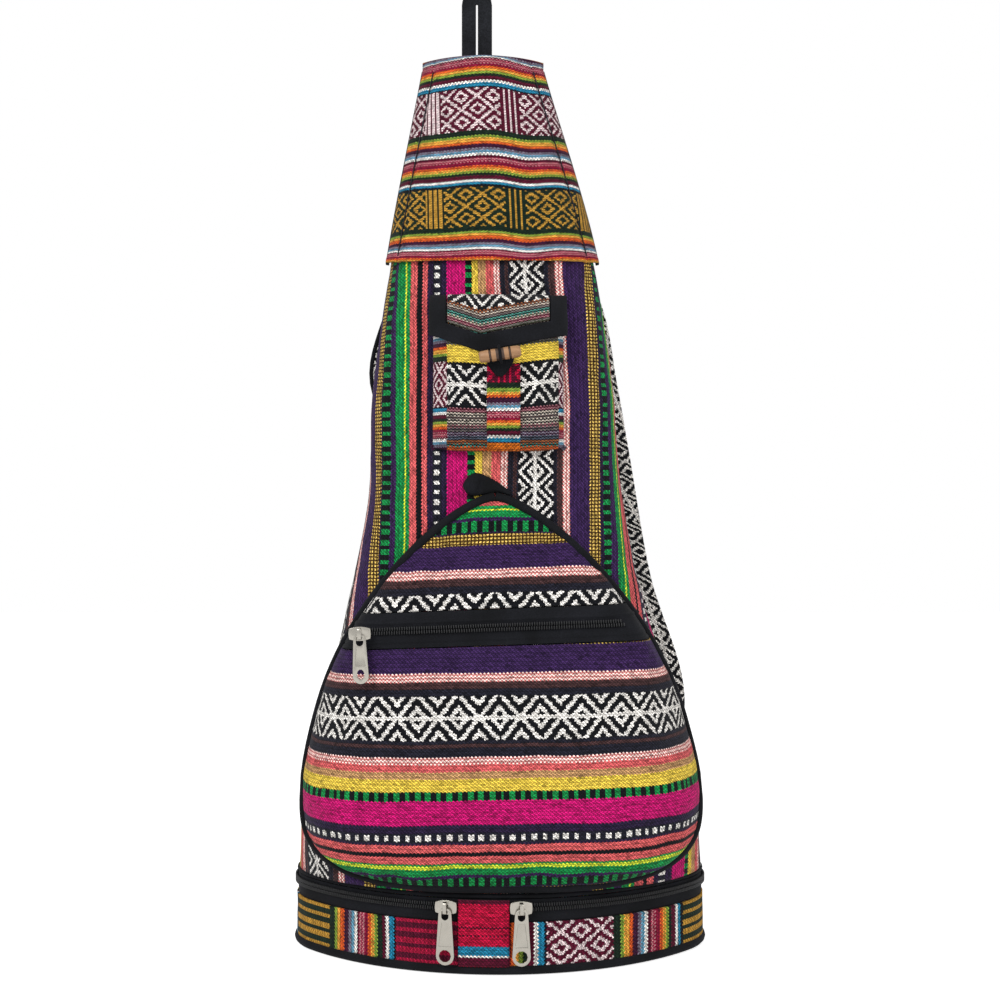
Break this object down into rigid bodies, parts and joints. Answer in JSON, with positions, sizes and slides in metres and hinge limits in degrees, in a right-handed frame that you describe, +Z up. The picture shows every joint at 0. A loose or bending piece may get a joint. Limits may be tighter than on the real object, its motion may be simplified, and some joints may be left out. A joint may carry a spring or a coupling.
{
  "type": "sling backpack",
  "caption": "Tapered woven sling backpack on an oval zipped base, with a teardrop zipped front pocket, a toggle pouch, a hood over the top, a hanging loop and one shoulder strap.",
  "frame": {"origin": "centre of the flat underside of the base", "axes": "+Z up to the hanging loop, front towards -Y, +X to the right as seen from the front"},
  "size_m": [0.2652, 0.1975, 0.6152],
  "materials": {
    "striped_cotton": "hand-woven striped cotton",
    "banded_cotton": "hand-woven banded cotton",
    "pouch_cotton": "hand-woven figured cotton",
    "strap_weave": "black and white figured weave",
    "red_cotton": "hand-woven red cotton",
    "black_cotton": "plain black cotton",
    "zip_coil": "moulded black coil",
    "nickel": "nickel-plated zinc",
    "turned_wood": "turned and waxed wood"
  },
  "bodies": {
    "bag": {"body_front": "striped_cotton", "back_panel": "striped_cotton", "back_lower_panel": "striped_cotton", "back_yoke": "striped_cotton", "hood_panel": "banded_cotton", "hood_binding_left": "black_cotton", "hood_binding_right": "black_cotton", "hanging_loop": "black_cotton", "shoulder_strap": "strap_weave", "pocket_upper_panel": "striped_cotton", "pocket_lower_panel": "striped_cotton", "pocket_piping": "black_cotton", "pocket_zip_tape": "black_cotton", "pocket_zip_chain": "zip_coil", "pocket_corner_tab": "black_cotton", "base_panel": "black_cotton", "base_piping": "black_cotton", "base_band": "banded_cotton", "base_zip_tape": "black_cotton", "base_zip_chain_left": "zip_coil", "base_zip_chain_right": "zip_coil", "base_zip_bridge": "red_cotton", "base_seam_piping": "black_cotton", "pouch_body": "pouch_cotton", "pouch_flap": "pouch_cotton", "pouch_flap_binding": "black_cotton", "pouch_strip": "banded_cotton", "toggle_loop": "black_cotton"},
    "pocket_slider": {"pocket_zip_slider": "nickel"},
    "pocket_tab": {"pocket_pull_tab": "nickel"},
    "left_slider": {"base_slider_left": "nickel"},
    "left_tab": {"base_pull_tab_left": "nickel"},
    "right_slider": {"base_slider_right": "nickel"},
    "right_tab": {"base_pull_tab_right": "nickel"},
    "toggle": {"toggle": "turned_wood", "toggle_cord": "black_cotton"}
  },
  "joints": [
    {"name": "pocket_zip", "type": "slide", "parent": "bag", "child": "pocket_slider", "axis": [0.9994, 0, 0.0349], "range_m": [0, 0.155]},
    {"name": "pocket_tab_swing", "type": "hinge", "parent": "pocket_slider", "child": "pocket_tab", "pos_m": [-0.08457, -0.07856, 0.20255], "axis": [-0.9994, 0, -0.0349], "range_deg": [0, 165]},
    {"name": "left_base_zip", "type": "hinge", "parent": "bag", "child": "left_slider", "pos_m": [0, 0.07165, 0.041], "axis": [0, 0, -1], "range_deg": [0, 34]},
    {"name": "left_tab_swing", "type": "hinge", "parent": "left_slider", "child": "left_tab", "pos_m": [-0.03266, -0.08799, 0.0402], "axis": [-0.9797, 0.2004, 0], "range_deg": [0, 120]},
    {"name": "right_base_zip", "type": "hinge", "parent": "bag", "child": "right_slider", "pos_m": [0, 0.07165, 0.041], "axis": [0, 0, 1], "range_deg": [0, 41]},
    {"name": "right_tab_swing", "type": "hinge", "parent": "right_slider", "child": "right_tab", "pos_m": [0.01276, -0.0908, 0.0402], "axis": [-0.9969, -0.0783, 0], "range_deg": [0, 120]},
    {"name": "toggle_turn", "type": "hinge", "parent": "bag", "child": "toggle", "pos_m": [0, -0.07562, 0.372], "axis": [0, 1, 0], "range_deg": [-60, 60]}
  ]
}
